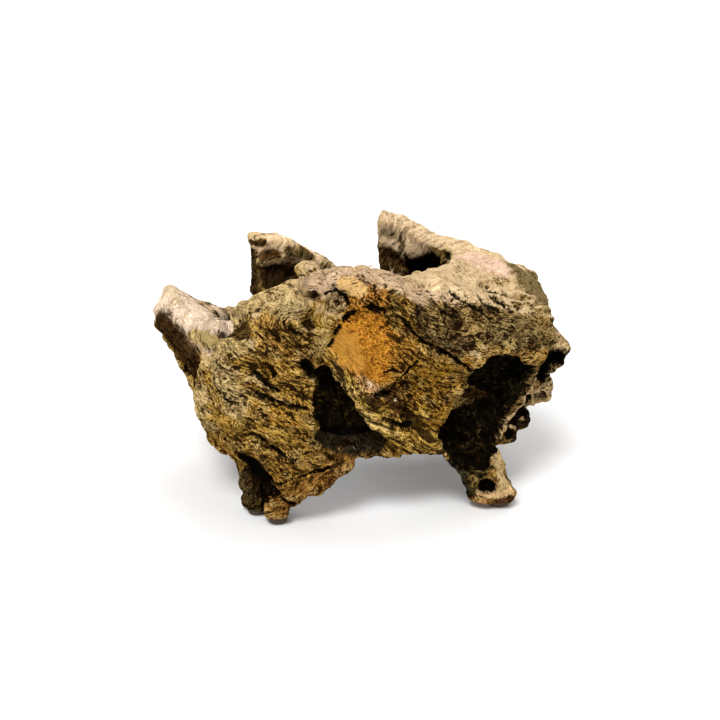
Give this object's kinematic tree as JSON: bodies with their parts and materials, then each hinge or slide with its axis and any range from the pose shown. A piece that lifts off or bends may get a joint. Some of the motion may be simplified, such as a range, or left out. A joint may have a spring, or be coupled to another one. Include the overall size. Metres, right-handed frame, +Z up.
{
  "type": "aquarium cave ornament",
  "caption": "Hollow driftwood-stump cave ornament of bonded resin castings, open at top, with arches between root feet and torn rear horns.",
  "frame": {"origin": "under the middle of the ornament's box, on the surface that it stands on", "axes": "+X to the right of the side with the big overhang, +Y to the rear horns, +Z up"},
  "size_m": [0.205, 0.1388, 0.1215],
  "materials": {
    "weathered_resin": "matt painted resin, olive brown weathered wood grain",
    "ochre_resin": "matt painted resin, orange ochre torn wood",
    "pale_resin": "matt painted resin, pale bleached wood",
    "dark_resin": "matt painted resin, dark brown hollow wood",
    "silicone": "satin dark brown silicone",
    "acrylic": "clear pale rod"
  },
  "bodies": {
    "root": {"front_left_lobe": "weathered_resin", "front_right_lobe": "weathered_resin", "right_rear_wall": "weathered_resin", "front_left_toe": "weathered_resin", "front_left_heel": "weathered_resin", "front_right_foot": "weathered_resin", "rear_right_foot": "weathered_resin", "rear_left_foot": "weathered_resin", "right_upper_knot": "weathered_resin", "right_middle_knot": "weathered_resin", "right_lower_knot": "weathered_resin", "right_lowest_knot": "weathered_resin", "front_scar_wall": "ochre_resin", "left_flare": "pale_resin", "rear_right_horn": "pale_resin", "rear_left_horn": "pale_resin", "right_rim_lobe": "pale_resin", "rim_stub": "pale_resin", "rear_wall": "dark_resin", "foot_pad_front_left_toe": "silicone", "foot_pad_front_left_heel": "silicone", "foot_pad_front_right": "silicone", "foot_pad_rear_right": "silicone", "foot_pad_rear_left": "silicone", "pin_left_rear_lower": "acrylic", "pin_left_rear_upper": "acrylic", "pin_left_front_lower": "acrylic", "pin_left_front_upper": "acrylic", "pin_scar_left_lower": "acrylic", "pin_scar_left_upper": "acrylic", "pin_scar_right_lower": "acrylic", "pin_scar_right_upper": "acrylic", "pin_right_rear_lower": "acrylic", "pin_right_rear_upper": "acrylic", "pin_rear_right_lower": "acrylic", "pin_rear_right_upper": "acrylic", "pin_rear_right_horn_a": "acrylic", "pin_rear_right_horn_b": "acrylic", "pin_rear_left_horn_a": "acrylic", "pin_rear_left_horn_b": "acrylic"}
  },
  "joints": []
}
